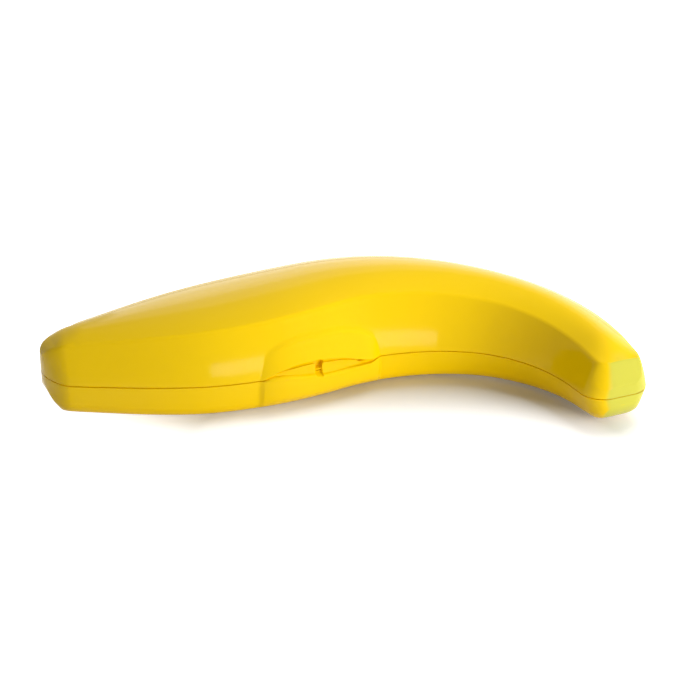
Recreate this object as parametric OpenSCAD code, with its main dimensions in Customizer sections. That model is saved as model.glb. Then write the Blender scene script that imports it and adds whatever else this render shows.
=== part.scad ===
// Banana carrying case: a moulded clamshell whose lid and base follow one curved centre line.
// Millimetres. +X runs from the blossom end to the stem end, +Y points to the hinge side, +Z is up.
// The origin is under the middle of the case's box, on the surface that the case stands on.

/* [Curve of the case] */
// Length of the blossom run, along the centre line
blossom_run = 59; // [49:1:69]
// Turn of the blossom run in degrees, positive towards the hinge side
blossom_turn = 2; // [-2:1:6]
// Length of the belly run
belly_run = 49; // [40:1:60]
// Turn of the belly run in degrees
belly_turn = 10; // [4:1:16]
// Length of the shoulder run
shoulder_run = 68; // [58:1:78]
// Turn of the shoulder run in degrees
shoulder_turn = -43; // [-50:1:-36]
// Length of the stem run
stem_run = 63; // [55:1:71]
// Turn of the stem run in degrees
stem_turn = -50; // [-56:1:-42]
// Length of the straight tip after the stem run
tip_run = 16; // [12:1:20]

/* [Widths at the parting line] */
// Width at the blossom end, before its corners are rounded
blossom_width = 20; // [20:0.5:26]
// Width a quarter of the way along
belly_width = 55; // [50:0.5:60]
// Width half way along
middle_width = 53.5; // [48:0.5:58]
// Width three quarters of the way along
neck_width = 38.5; // [34:0.5:43]
// Width at the stem end, before its corners are rounded
stem_width = 26; // [23:0.5:31]
// Corner radius of the blossom end, seen from above
blossom_corner = 9; // [6:0.5:9]
// Corner radius of the stem end, seen from above
stem_corner = 8; // [6:0.5:11]

/* [Lid] */
// Height of the lid's side wall at the blossom end
blossom_wall = 14; // [12:0.5:18]
// Height of the lid's side wall a quarter of the way along
belly_wall = 20; // [17:0.5:23]
// Height of the lid's side wall half way along
middle_wall = 23; // [21:0.5:26]
// Height of the lid's side wall three quarters of the way along
neck_wall = 19.5; // [17:0.5:23]
// Height of the lid's side wall at the stem end
stem_wall = 13; // [11:0.5:16]
// Rise of the lid's crown above its side wall at the blossom end
blossom_crown = 2; // [1:0.5:4]
// Rise of the lid's crown half way along
middle_crown = 4.5; // [2:0.5:6]
// Rise of the lid's crown at the stem end
stem_crown = 4.5; // [3:0.5:7]
// Inward lean of the lid's side wall in degrees
lid_lean = 19; // [12:1:21]
// Size of the soft edge between the side wall and the crown
crease_size = 4; // [2:0.5:5]
// Height of the lid's upright end wall at the blossom end
blossom_end_wall = 8; // [6:0.5:10]
// Slope of the lid's end facet at the blossom end in degrees
blossom_facet = 50; // [40:1:60]
// Height of the lid's upright end wall at the stem end
stem_end_wall = 5.5; // [5:0.5:8]
// Slope of the lid's end facet at the stem end in degrees
stem_facet = 66; // [58:1:72]
// Length over which the crown falls to the crease at each end
crown_fall = 16; // [10:1:20]

/* [Base] */
// Depth of the base below the parting line
base_depth = 14; // [12:0.5:16]
// Rise of the base's underside at the blossom end
blossom_rise = 2; // [0:0.5:3]
// Rise of the base's underside at the stem end
stem_rise = 1.5; // [0:0.5:3]
// Inward lean of the base's side wall at the blossom end in degrees
blossom_lean = 3; // [2:1:10]
// Inward lean of the base's side wall at the stem end in degrees
stem_lean = 23; // [14:1:25]
// Size of the soft edge round the underside
sole_size = 5; // [3:0.5:6]
// Height of the base's upright end wall at the blossom end
blossom_foot_wall = 4; // [3.5:0.5:6]
// Slope of the base's end facet at the blossom end in degrees
blossom_foot_facet = 62; // [50:1:66]
// Height of the base's upright end wall at the stem end
stem_foot_wall = 6; // [4:0.5:7]
// Slope of the base's end facet at the stem end in degrees
stem_foot_facet = 50; // [42:1:60]

/* [Walls and rim] */
// Thickness of the moulded walls
wall = 2; // [1.8:0.1:2.4]
// Thickness of the tongue that stands on the base's rim
tongue_wall = 0.8; // [0.7:0.1:0.9]
// Height of the tongue
tongue_height = 1.2; // [1:0.1:1.5]
// Clearance between the tongue and the lid
tongue_clearance = 0.2; // [0.15:0.05:0.25]
// Gap between the closed rims
rim_gap = 0.3; // [0.2:0.05:0.5]

/* [Finger grip] */
// Distance of the grip's middle from the blossom end, along the centre line
grip_place = 105; // [99:1:111]
// Length of the grip along the centre line
grip_length = 55; // [50:1:60]
// Height of the grip on the lid at its middle
grip_height = 14; // [12:0.5:16]
// Height that the grip loses from its middle to its stem end
grip_fall = 1.6; // [0:0.2:2.4]
// Bulge of the grip's face at the middle of the parting line, seen from above
grip_out = 2.8; // [2.4:0.1:3.4]
// Inward lean of the grip's face on the lid in degrees
grip_lean = 23; // [21:1:24]
// Size of the soft edge round the grip
grip_edge = 1.8; // [1:0.1:2.5]
// Length of the finger recess in the lid's grip
recess_length = 54; // [46:1:54]
// Height of the finger recess
recess_height = 5; // [4:0.5:6]
// Distance of the catch from the blossom end, along the centre line
catch_place = 101; // [97:1:106]
// Width of the catch slot in the base's grip
slot_width = 3.6; // [3.2:0.1:5]
// Depth of the catch slot below the parting line
slot_depth = 2.4; // [2:0.2:4]
// Length of the catch prong below the parting line
prong_length = 1.6; // [1:0.2:1.8]
// Thickness of the catch prong
prong_thickness = 1; // [0.8:0.1:1.2]
// Clearance round the catch prong
prong_clearance = 0.5; // [0.3:0.1:0.6]

/* [Hinge] */
// Distance between the middles of the two hinge stations
hinge_spacing = 32; // [26:1:40]
// Diameter of the hinge knuckles
knuckle_d = 6.4; // [5.6:0.2:8]
// Length of the lid's lug at each station
lug_length = 7; // [5:0.5:9]
// Length of each base ear
ear_length = 4; // [3:0.5:5]
// End clearance between a lug and its ears
knuckle_gap = 0.35; // [0.2:0.05:0.5]
// Clearance between a knuckle and the wall of the other half
knuckle_clearance = 0.5; // [0.4:0.1:0.8]
// Height of the webs that join the knuckles to the walls
web_height = 5.5; // [4.5:0.5:6.5]
// Diameter of the hinge pins
pin_d = 2.5; // [2:0.1:3]
// Radial clearance of the pins in the lid's lugs
pin_running = 0.05; // [0.03:0.01:0.1]
// Radial clearance of the pins in the base's ears
pin_seat = 0.02; // [0.01:0.01:0.03]
// Chamfer on the ends of the pins
pin_chamfer = 0.3; // [0.1:0.1:0.5]

/* [Hidden] */
shell_yellow = [0.98, 0.82, 0.02];
pin_steel = [0.75, 0.76, 0.78];
round_fn = 48;

// Centre line: four circular runs and a straight tip, turned so that its two ends lie on one line along X
runs = [blossom_run, belly_run, shoulder_run, stem_run, tip_run];
turns = [blossom_turn, belly_turn, shoulder_turn, stem_turn, 0];
case_length = blossom_run + belly_run + shoulder_run + stem_run + tip_run;
function bow(a) = a == 0 ? 1 : sin(a) / (a * PI / 180);
function along(p, h, l, t) = p + l * bow(t / 2) * [cos(h + t / 2), sin(h + t / 2)];
run_starts = [for (i = 0, s = 0; i < len(runs); s = s + runs[i], i = i + 1) s];
run_headings = [for (i = 0, h = 0; i < len(runs); h = h + turns[i], i = i + 1) h];
run_points = [
    for (i = 0, p = [0, 0]; i < len(runs); p = along(p, run_headings[i], runs[i], turns[i]), i = i + 1) p
];
function run_at(s) = max([for (i = [0 : len(runs) - 1]) if (s >= run_starts[i]) i]);
function free_heading(s) =
    let (i = run_at(s)) run_headings[i] + turns[i] * (s - run_starts[i]) / runs[i];
function free_point(s) =
    let (i = run_at(s), l = s - run_starts[i])
    along(run_points[i], run_headings[i], l, turns[i] * l / runs[i]);
free_end = free_point(case_length);
chord_turn = -atan2(free_end[1], free_end[0]);
function heading(s) = free_heading(s) + chord_turn;
function turned(p, a) = [p[0] * cos(a) - p[1] * sin(a), p[0] * sin(a) + p[1] * cos(a)];
function line_point(s, n) = turned(free_point(s), chord_turn) + n * [-sin(heading(s)), cos(heading(s))];

// Sizes along the case: a smooth curve through the values at five equal stations
half_widths = [blossom_width, belly_width, middle_width, neck_width, stem_width] / 2;
wall_heights = [blossom_wall, belly_wall, middle_wall, neck_wall, stem_wall];
crown_rises = [blossom_crown, middle_crown, stem_crown];
function beyond(v, i) =
    let (n = len(v) - 1) i < 0 ? 2 * v[0] - v[1] : i > n ? 2 * v[n] - v[n - 1] : v[i];
function smooth(v, u) =
    let (n = len(v) - 1, i = min(floor(u * n), n - 1), t = u * n - i)
    let (a = beyond(v, i - 1), b = v[i], c = v[i + 1], d = beyond(v, i + 2))
    b + t / 2 * (c - a + t * (2 * a - 5 * b + 4 * c - d + t * (3 * b - a - 3 * c + d)));
function share(s) = s / case_length;
function ease(t) = let (c = min(max(t, 0), 1)) c * c * (3 - 2 * c);

// Half width of the outline moved inwards by e, with its end corners rounded
function corner(d, r) = d >= r ? 0 : r - sqrt(r * r - pow(r - max(d, 0), 2));
function full_half(s, e) = smooth(half_widths, share(s)) - e;
function half_width(s, e) =
    full_half(s, e)
    - corner(s - e, blossom_corner - e)
    - corner(case_length - e - s, stem_corner - e);
function leaned(s, e, z, lean) = half_width(s, e) * (1 - z * tan(lean) / full_half(s, e));

// Heights of the lid, moved inwards by e: side wall, crown and the flat facets at the two ends
function crease_z(s, e) = smooth(wall_heights, share(s)) - e;
function facet(d, h, slope, e) = h + d * tan(slope) - e / cos(slope);
function lid_limit(s, e) = min(
    facet(s, blossom_end_wall, blossom_facet, e),
    facet(case_length - s, stem_end_wall, stem_facet, e)
);
function lid_side(s, e, z) = leaned(s, e, z, lid_lean);
blossom_top = (blossom_wall - blossom_end_wall) / tan(blossom_facet);
stem_top = (stem_wall - stem_end_wall) / tan(stem_facet);
function fall(d) = let (t = min(max(d / crown_fall, 0), 1)) t * (2 - t);
function crown_rise(s) =
    smooth(crown_rises, share(s)) * fall(s - blossom_top) * fall(case_length - stem_top - s);

// Depths of the base, moved inwards by e: flat underside that rises at both ends, and end facets
end_rise = blossom_run;
function underside(s, e) =
    base_depth - e
    - blossom_rise * (1 - ease(s / end_rise))
    - stem_rise * (1 - ease((case_length - s) / end_rise));
function base_limit(s, e) = min(
    facet(s, blossom_foot_wall, blossom_foot_facet, e),
    facet(case_length - s, stem_foot_wall, stem_foot_facet, e)
);
function base_lean(s) = blossom_lean + (stem_lean - blossom_lean) * ease(share(s));
function base_side(s, e, d) = leaned(s, e, d, base_lean(s));

// Finger grip: a bulging face with an arched top on the lid, which fades out down the base
grip_half = grip_length / 2;
recess_half = recess_length / 2;
recess_floor = 0.3;
recess_lip = 0.5;
grip_end_share = 0.15;
arch_power = 2.7;
function from_grip(s) = abs(s - grip_place);
function grip_share(s) = min(from_grip(s) / grip_half, 1);
function on_grip(s) = from_grip(s) <= grip_half;
function grip_face(s) = half_width(s, 0) + grip_out * (1 - pow(grip_share(s), arch_power));
function arch(t) = pow(max(grip_end_share, 1 - pow(t, arch_power)), 1 / arch_power);
function grip_top(s) =
    (grip_height - grip_fall * (s - grip_place) / grip_half) * arch(grip_share(s));
skew_gain = 27 / 4;
function skewed(t) = let (c = min(max(t, 0), 1)) skew_gain * c * pow(1 - c, 2);
function recess_top(s) =
    max(recess_lip, recess_height * skewed((s - grip_place + recess_half) / recess_length));
function grip_side(s, z) =
    let (side = lid_side(s, 0, z)) on_grip(s) ? max(grip_face(s) - z * tan(grip_lean), side) : side;
function recess_side(s, z) = from_grip(s) < recess_half ? half_width(s, 0) + recess_floor : grip_side(s, z);
function fade(d) = pow(min(d / base_depth, 1), 2);
function base_grip_side(s, d) =
    on_grip(s) ? grip_face(s) * (1 - fade(d)) + base_side(s, 0, d) * fade(d) : base_side(s, 0, d);
function slot_side(s, d) =
    abs(s - catch_place) <= slot_width / 2 ? half_width(s, 0) + recess_floor : base_grip_side(s, d);

// Cross sections, as lists of [across, height] from the front rim over to the back rim
crown_steps = 6;
bend_steps = [0, 1 / 3, 2 / 3, 1];
function bend(a, c, b) = [for (t = bend_steps) (1 - t) * (1 - t) * a + 2 * t * (1 - t) * c + t * t * b];
function reversed(l) = [for (i = [len(l) - 1 : -1 : 0]) l[i]];
function flipped(l) = [for (p = l) [-p[0], p[1]]];
function under(l, limit) = [for (p = l) [p[0], min(p[1], limit)]];
function above(l, limit) = [for (p = l) [p[0], max(p[1], -limit)]];

// Lid sections: the soft edge, the crown between the edges, and the front wall with its grip
function soft_edge(s, e) = min(crease_size, lid_side(s, e, crease_z(s, e)) / 2);
function crown_point(s, e, x) =
    let (z = crease_z(s, e), w = lid_side(s, e, z)) [x, z + crown_rise(s) * (1 - x * x / (w * w))];
function lid_edge(s, e) =
    let (z = crease_z(s, e), w = lid_side(s, e, z), r = soft_edge(s, e))
    bend([lid_side(s, e, z - r), z - r], [w, z], crown_point(s, e, w - r));
function lid_crown(s, e) =
    let (w = lid_side(s, e, crease_z(s, e)) - soft_edge(s, e))
    [for (k = [1 : crown_steps - 1]) crown_point(s, e, w * (2 * k / crown_steps - 1))];
function grip_wall(s) =
    let (r = recess_top(s), g = grip_top(s), face = grip_side(s, g), side = lid_side(s, 0, g))
    [
        [recess_side(s, rim_gap / 2), rim_gap / 2],
        [recess_side(s, r), r],
        [grip_side(s, r + recess_lip), r + recess_lip],
        [grip_side(s, g - grip_edge), g - grip_edge],
        [(3 * face + side) / 4, g - grip_edge / 4],
        [lid_side(s, 0, g + grip_edge / 2), g + grip_edge / 2],
    ];
function lid_arch(s, e) = concat(flipped(lid_edge(s, e)), lid_crown(s, e), reversed(lid_edge(s, e)));
function lid_outer(s) =
    let (foot = [lid_side(s, 0, rim_gap / 2), rim_gap / 2])
    under(concat(flipped(grip_wall(s)), lid_arch(s, 0), [foot]), lid_limit(s, 0));
function lid_inner(s) =
    let (z = tongue_height + tongue_clearance, foot = [half_width(s, wall), z])
    under(concat(flipped([foot]), lid_arch(s, wall), [foot]), lid_limit(s, wall));

// Base sections: the soft edge round the underside, and the front wall with its catch slot
function sole_bend(s, e) = min(sole_size, base_side(s, e, underside(s, e)) * 2 / 3);
function sole_top(s, e) = underside(s, e) - sole_bend(s, e);
function sole_edge(s, e, side) =
    let (d = underside(s, e), w = base_side(s, e, d))
    bend([side, -sole_top(s, e)], [w, -d], [w - sole_bend(s, e), -d]);
function plain_sole(s, e) = sole_edge(s, e, base_side(s, e, sole_top(s, e)));
function grip_sole(s) = sole_edge(s, 0, base_grip_side(s, sole_top(s, 0)));
function slot_wall(s) = [
    [slot_side(s, rim_gap / 2), -rim_gap / 2],
    [slot_side(s, slot_depth), -slot_depth],
    [base_grip_side(s, slot_depth + recess_lip), -slot_depth - recess_lip],
];
function base_outer(s) =
    let (foot = [base_side(s, 0, rim_gap / 2), -rim_gap / 2])
    above(concat(
        flipped(slot_wall(s)), flipped(grip_sole(s)), reversed(plain_sole(s, 0)), [foot]
    ), base_limit(s, 0));
function base_inner(s) =
    let (foot = [half_width(s, wall), tongue_height])
    above(concat(
        flipped([foot]), flipped(plain_sole(s, wall)), reversed(plain_sole(s, wall)), [foot]
    ), base_limit(s, wall));

// Places of the cross sections along the centre line, closer together at the ends and the grip
corner_steps = [0 : 15 : 90];
side_step = 1;
slot_step = 0.3;
end_zone = 22;
end_step = 2;
ring_step = 5;
grip_step = 2.5;
function corner_rings(r) = [for (a = corner_steps) r * (1 - cos(a))];
function between(a, b, step) = let (n = ceil((b - a) / step)) [for (k = [1 : n - 1]) a + (b - a) * k / n];
function end_rings(r) = concat(corner_rings(r), between(r, end_zone, end_step), [end_zone]);
function falling(l) = len(l) == 0 ? [] : let (m = max(l)) concat([m], falling([for (v = l) if (v < m) v]));
grip_edges = falling([grip_half + side_step, grip_half, recess_half]);
grip_low = [for (d = grip_edges) grip_place - d];
slot_low = [for (d = [slot_width / 2 + slot_step, slot_width / 2]) catch_place - d];
slot_high = [for (d = [slot_width / 2, slot_width / 2 + slot_step]) catch_place + d];
grip_high = [for (d = reversed(grip_edges)) grip_place + d];
grip_last = len(grip_edges) - 1;
rings = concat(
    end_rings(blossom_corner),
    between(end_zone, grip_low[0], ring_step),
    grip_low,
    between(grip_low[grip_last], slot_low[0], grip_step),
    slot_low,
    slot_high,
    between(slot_high[1], grip_high[0], grip_step),
    grip_high,
    between(grip_high[grip_last], case_length - end_zone, ring_step),
    reversed([for (d = end_rings(stem_corner)) case_length - d])
);

// Hinge line: along X, just outside the rim's furthest point on the hinge side
front_rim = [for (s = rings) line_point(s, -half_width(s, 0))];
back_rim = [for (s = rings) line_point(s, half_width(s, 0))];
back_y = max([for (p = back_rim) p[1]]);
hinge_mid = [for (p = back_rim) if (p[1] == back_y) p[0]][0];
hinge_line = back_y + knuckle_clearance + knuckle_d / 2;

// Middle of the case's box, which becomes the origin
rim_x = [for (p = concat(front_rim, back_rim)) p[0]];
rim_y = [for (p = front_rim) p[1]];
box_middle = [(min(rim_x) + max(rim_x)) / 2, (min(rim_y) + hinge_line + knuckle_d / 2) / 2];
function place(s, p) = concat(line_point(s, p[0]) - box_middle, [p[1] + base_depth]);
hinge_x = hinge_mid - box_middle[0];
hinge_y = hinge_line - box_middle[1];
hinge_z = base_depth;
hinge_reach = 2 * hinge_spacing;
back_near = [for (p = back_rim) if (abs(p[0] - hinge_mid) < hinge_reach) p - box_middle];
function back_at(x) = lookup(x, back_near);

// Shell: outer skin, stepped rim and inner skin of one half as a single closed surface
function moved_in(s, e) = e + s * (case_length - 2 * e) / case_length;
function rim_step(s, e, z, side) = let (t = moved_in(s, e)) place(t, [side * half_width(t, e), z]);
function shell_ring(s, outer, inner, e, low, high) =
    let (t = moved_in(s, wall))
    concat(
        [for (p = outer) place(s, p)],
        [rim_step(s, e, low, 1), rim_step(s, e, high, 1)],
        [for (p = reversed(inner)) place(t, p)],
        [rim_step(s, e, high, -1), rim_step(s, e, low, -1)]
    );
function strip(a, b) = [
    for (k = [0 : len(a) - 1])
        let (j = (k + 1) % len(a))
        each [[a[k], a[j], b[j]], [a[k], b[j], b[k]]]
];
function end_faces(r, m) =
    let (k = len(r) - 1)
    [
        [for (j = [0 : m - 1]) r[j]],
        [r[0], r[m - 1], r[m], r[k]],
        [r[k], r[m], r[m + 1], r[k - 1]],
        [r[k - 1], r[m + 1], r[m + 2], r[k - 2]],
        [for (j = [m + 2 : k - 2]) r[j]],
    ];
module shell(loops, m, up) {
    k = len(loops[0]);
    n = len(loops);
    rows = [for (i = [0 : n - 1]) [for (j = [0 : k - 1]) i * k + j]];
    sides = [for (i = [0 : n - 2]) each strip(rows[i], rows[i + 1])];
    first = [for (f = end_faces(rows[0], m)) reversed(f)];
    last = end_faces(rows[n - 1], m);
    faces = concat(sides, first, last);
    polyhedron([for (l = loops) each l], up ? faces : [for (f = faces) reversed(f)]);
}

// Hinge: one lid lug between two base ears at each of two stations
ear_start = lug_length / 2 + knuckle_gap;
pin_length = 2 * (ear_start + ear_length);
web_bite = wall / 4;
stations = [hinge_x - hinge_spacing / 2, hinge_x + hinge_spacing / 2];
module along_hinge(x, length) {
    translate([x, 0, 0]) rotate([90, 0, 90]) linear_extrude(length) children();
}
module along_rim(x, length) {
    slope = (back_at(x + length) - back_at(x)) / length;
    multmatrix([[1, 0, 0, 0], [slope, 1, 0, -slope * x], [0, 0, 1, 0]]) along_hinge(x, length) children();
}
module knuckle(x, length, bore_r, up, lean) {
    bite = back_at(x) - web_bite;
    foot = up * rim_gap / 2;
    difference() {
        union() {
            along_hinge(x, length) translate([hinge_y, hinge_z]) circle(d = knuckle_d, $fn = round_fn);
            along_rim(x, length) polygon([
                [hinge_y, hinge_z + foot],
                [bite, hinge_z + foot],
                [bite - web_height * tan(lean), hinge_z + up * web_height],
                [hinge_y, hinge_z + up * knuckle_d / 2],
            ]);
        }
        along_hinge(x - 1, length + 2) translate([hinge_y, hinge_z]) circle(r = bore_r, $fn = round_fn);
    }
}
module base_ears() {
    for (x = stations)
        for (start = [x - ear_start - ear_length, x + ear_start])
            knuckle(start, ear_length, pin_d / 2 + pin_seat, -1, base_lean(case_length / 2));
}
module lid_lugs() {
    for (x = stations) knuckle(x - lug_length / 2, lug_length, pin_d / 2 + pin_running, 1, lid_lean);
}

// Catch prong: hangs from the lid's recess into the slot of the base's grip
prong_width = slot_width - 2 * prong_clearance;
prong_back = recess_floor + prong_clearance;
prong_front = prong_back + prong_thickness;
module catch_prong() {
    rim = half_width(catch_place, 0);
    top = recess_top(catch_place) / 2;
    translate(place(catch_place, [0, 0])) rotate([0, 0, heading(catch_place)]) {
        translate([-prong_width / 2, -rim - prong_front, -prong_length])
            cube([prong_width, prong_thickness, prong_length + top]);
        translate([-prong_width / 2, -rim - prong_front, rim_gap / 2])
            cube([prong_width, prong_front + web_bite / 2, top - rim_gap / 2]);
    }
}

module base_shell() {
    step = wall - tongue_wall;
    loops = [
        for (s = rings)
            shell_ring(s, base_outer(s), base_inner(moved_in(s, wall)), step, -rim_gap / 2, tongue_height)
    ];
    color(shell_yellow) union() {
        shell(loops, len(base_outer(0)), false);
        base_ears();
    }
}

module lid_shell() {
    step = wall - tongue_wall - tongue_clearance;
    top = tongue_height + tongue_clearance;
    loops = [
        for (s = rings)
            shell_ring(s, lid_outer(s), lid_inner(moved_in(s, wall)), step, rim_gap / 2, top)
    ];
    color(shell_yellow) union() {
        shell(loops, len(lid_outer(0)), true);
        lid_lugs();
        catch_prong();
    }
}

module hinge_pin(x) {
    r = pin_d / 2;
    c = pin_chamfer;
    color(pin_steel) translate([x - pin_length / 2, hinge_y, hinge_z]) rotate([0, 90, 0])
        rotate_extrude($fn = round_fn) polygon([
            [0, 0], [r - c, 0], [r, c], [r, pin_length - c], [r - c, pin_length], [0, pin_length]
        ]);
}

base_shell();
lid_shell();
hinge_pin(stations[0]);  // hinge_pin_blossom
hinge_pin(stations[1]);  // hinge_pin_stem
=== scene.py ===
"""Dressed model of a moulded banana carrying case: two curved half shells, their hinge and a plain studio.

The shells are worked out with numpy from the same sizes as the part's solids, in millimetres, and put into
meshes in metres. Each shell is one closed surface: cross sections carried along a curved centre line.

Short names in the formulas: s is a place along the centre line and n a distance across it, to the hinge side;
h is a height above the parting line and d a depth below it; e is a distance that a surface is moved inwards.
"""
from __future__ import annotations

import logging
import math
from dataclasses import dataclass
from enum import Enum
from typing import Union

import bpy
import numpy as np
from mathutils import Matrix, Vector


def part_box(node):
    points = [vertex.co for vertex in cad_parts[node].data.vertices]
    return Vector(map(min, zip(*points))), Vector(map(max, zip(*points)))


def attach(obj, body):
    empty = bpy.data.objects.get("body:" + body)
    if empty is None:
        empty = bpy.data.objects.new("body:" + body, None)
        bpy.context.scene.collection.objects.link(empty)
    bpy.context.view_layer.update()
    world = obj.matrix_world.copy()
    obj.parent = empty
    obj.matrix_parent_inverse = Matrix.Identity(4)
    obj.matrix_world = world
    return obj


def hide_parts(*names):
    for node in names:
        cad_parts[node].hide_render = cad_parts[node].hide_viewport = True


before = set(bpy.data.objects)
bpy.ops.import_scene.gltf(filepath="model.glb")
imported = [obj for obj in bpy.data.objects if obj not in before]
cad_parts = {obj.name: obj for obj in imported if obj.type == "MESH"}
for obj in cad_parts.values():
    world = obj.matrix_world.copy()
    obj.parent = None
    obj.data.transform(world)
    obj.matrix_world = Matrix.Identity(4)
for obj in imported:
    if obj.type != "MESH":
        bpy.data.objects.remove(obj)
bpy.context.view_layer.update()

LOG = logging.getLogger("banana_case")
MM = 0.001
TINY = 1e-6
Array = np.ndarray
Value = Union[float, Array]
Span = tuple[float, float]
Strip = tuple[Array, Array]


class Half(Enum):
    """The two moulded halves, with the body that each rides on."""

    BASE = "base"
    LID = "lid"


@dataclass(frozen=True)
class EndForm:
    """Rounded end of one half: a cone with a flat side, which grows narrower away from the parting line."""

    centre: float
    front_flat: float
    back_flat: float
    radius: float
    height: float
    slope: float
    bow: float
    soft: float
    release: float = 2.0
    release_start: float = 2.0

    def limit(self, d: Array, n: Array, e: float) -> Array:
        """Height of the end's surface, which falls with the distance from the cone's axis.

        The fall is a mix of a straight line and a quarter ellipse. Beyond the axis the surface rises
        steeply, so that it leaves the rest of the case alone.

        Args:
            d: Distances from the end, along the case.
            n: Distances across the case.
            e: Distance that the surface is moved inwards.

        Returns:
            Heights above the parting line, or depths below it.
        """
        across = np.maximum(np.maximum(-n - self.front_flat, n - self.back_flat), 0.0)
        out = np.hypot(np.clip(self.centre - d, 0.0, None), across) + e - self.radius
        whole = self.centre - self.radius
        share = np.clip(out / whole, 0.0, 1.0)
        bowed = whole * (1 - np.sqrt(1 - share * share)) - out * (out > 0)
        beyond = np.clip(d - self.centre, 0.0, None)
        rise = self.release * beyond * beyond / (beyond + self.release_start)
        return self.height - (out + self.bow * np.minimum(bowed, 0.0)) / self.slope + rise


@dataclass(frozen=True)
class CaseSizes:
    """Sizes of the case in millimetres and degrees, as in the part's source."""

    # Centre line and outline
    runs: tuple[float, ...] = (59.0, 49.0, 68.0, 63.0, 16.0)
    turns: tuple[float, ...] = (2.0, 10.0, -43.0, -50.0, 0.0)
    widths: tuple[float, ...] = (20.0, 55.0, 53.5, 38.5, 26.0)
    blossom_corner: float = 9.7
    stem_corner: float = 8.0
    blossom_slant: float = 0.25
    slant_start: float = 4.0
    slant_reach: float = 16.0
    # Lid
    walls: tuple[float, ...] = (14.0, 20.0, 23.0, 19.5, 13.0)
    crowns: tuple[float, ...] = (2.0, 4.5, 3.2)
    lid_lean: float = 19.0
    lid_bulge: float = 0.5
    crease_size: float = 0.9
    crown_flat: float = 0.3
    flat_start: Span = (0.45, 0.75)
    blossom_top: float = 1.0
    stem_top: float = 3.2
    crown_fall: float = 16.0
    # Base
    base_depth: float = 14.0
    blossom_rise: float = 1.2
    stem_rise: float = 1.5
    blossom_lean: float = 3.0
    stem_lean: float = 23.0
    sole_size: float = 5.0
    # Wall, rim and tongue
    wall: float = 2.0
    tongue_wall: float = 0.8
    tongue_height: float = 1.2
    tongue_clearance: float = 0.2
    rim_gap: float = 0.3
    rim_round: float = 0.35
    # Rounded ends
    lid_blossom: EndForm = EndForm(
        centre=13.2, front_flat=3.2, back_flat=1.5, radius=8.0, height=14.5, slope=0.84, bow=0.4, soft=4.0)
    lid_stem: EndForm = EndForm(
        centre=10.1, front_flat=3.3, back_flat=6.5, radius=7.0, height=13.3, slope=0.36, bow=0.0, soft=0.8)
    base_blossom: EndForm = EndForm(
        centre=11.0, front_flat=6.9, back_flat=6.9, radius=6.9, height=12.0, slope=0.45, bow=0.5, soft=4.0)
    base_stem: EndForm = EndForm(
        centre=11.0, front_flat=4.2, back_flat=5.0, radius=4.2, height=12.5, slope=0.75, bow=0.5, soft=3.0)

    @property
    def length(self) -> float:
        """Length of the centre line."""
        return sum(self.runs)


@dataclass(frozen=True)
class GripSizes:
    """Sizes of the finger grip, its recess and the snap catch, in millimetres and degrees."""

    # Grip
    place: float = 105.0
    length: float = 55.0
    height: float = 14.0
    fall: float = 1.6
    power: float = 2.7
    plan_power: float = 5.0
    out: float = 2.8
    lean: float = 23.0
    fillet_in: float = 1.3
    fillet_out: float = 0.5
    side_fillet: float = 1.6
    # Finger recess
    recess_length: float = 54.0
    recess_height: float = 5.0
    recess_floor: float = 0.1
    recess_ease: Span = (0.05, 0.4)
    lip: float = 0.5
    # Ledge and scoop of the base
    ledge_round: float = 1.3
    round_ease: Span = (0.5, 2.5)
    ledge_rise: float = 1.5
    ledge_drop: float = 1.0
    ledge_inset: float = 1.0
    ledge_whole: float = 5.0
    ledge_fall: float = 7.0
    ledge_change: float = 3.0
    scoop_front: float = 0.8
    scoop_back: float = 0.5
    scoop_least: float = 0.15
    scoop_gap: float = 0.5
    scoop_share: float = 0.85
    scoop_ease: Span = (0.4, 2.2)
    # Snap catch
    catch_place: float = 99.0
    slot_half: float = 1.2
    slot_side: float = 0.3
    slot_depth: float = 0.5
    slot_ease: float = 0.5
    slot_back: float = 0.0
    hole_rise: float = 3.0
    hole_radius: float = 2.0
    hole_ease: float = 0.4
    hole_depth: float = 1.6

    @property
    def low(self) -> float:
        """Place of the grip's end nearer the blossom end."""
        return self.place - self.length / 2

    @property
    def high(self) -> float:
        """Place of the grip's end nearer the stem end."""
        return self.place + self.length / 2


@dataclass(frozen=True)
class SectionPitch:
    """Distances between the cross sections, and the zones that they hold for, in millimetres."""

    corner_steps: int = 24
    end_zone: float = 26.0
    edge_zone: float = 4.0
    end: float = 0.7
    plain: float = 1.6
    edge: float = 0.3
    grip: float = 0.6
    catch: float = 0.16


def soft_min(a: Array, b: Array, k: float) -> Array:
    """Smaller of two values with a rounded change-over of width k.

    Args:
        a: First values.
        b: Second values.
        k: Width over which the two are blended.

    Returns:
        The blended smaller values: a mix of both, less a parabola where they are close.
    """
    h = np.clip(0.5 + 0.5 * (b - a) / k, 0.0, 1.0)
    return b * (1 - h) + a * h - k * h * (1 - h)


def step(low: float, high: float, v: Array) -> Array:
    """Cubic ease from 0 at low to 1 at high."""
    t = np.clip((v - low) / (high - low), 0.0, 1.0)
    return t * t * (3 - 2 * t)


def corner(d: Array, r: Value) -> Array:
    """Set-back of a quarter round of radius r, at distance d from the face it starts on."""
    inside = np.clip(r - np.clip(d, 0.0, None), 0.0, None)
    return r - np.sqrt(np.maximum(r * r - inside * inside, 0.0))


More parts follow.
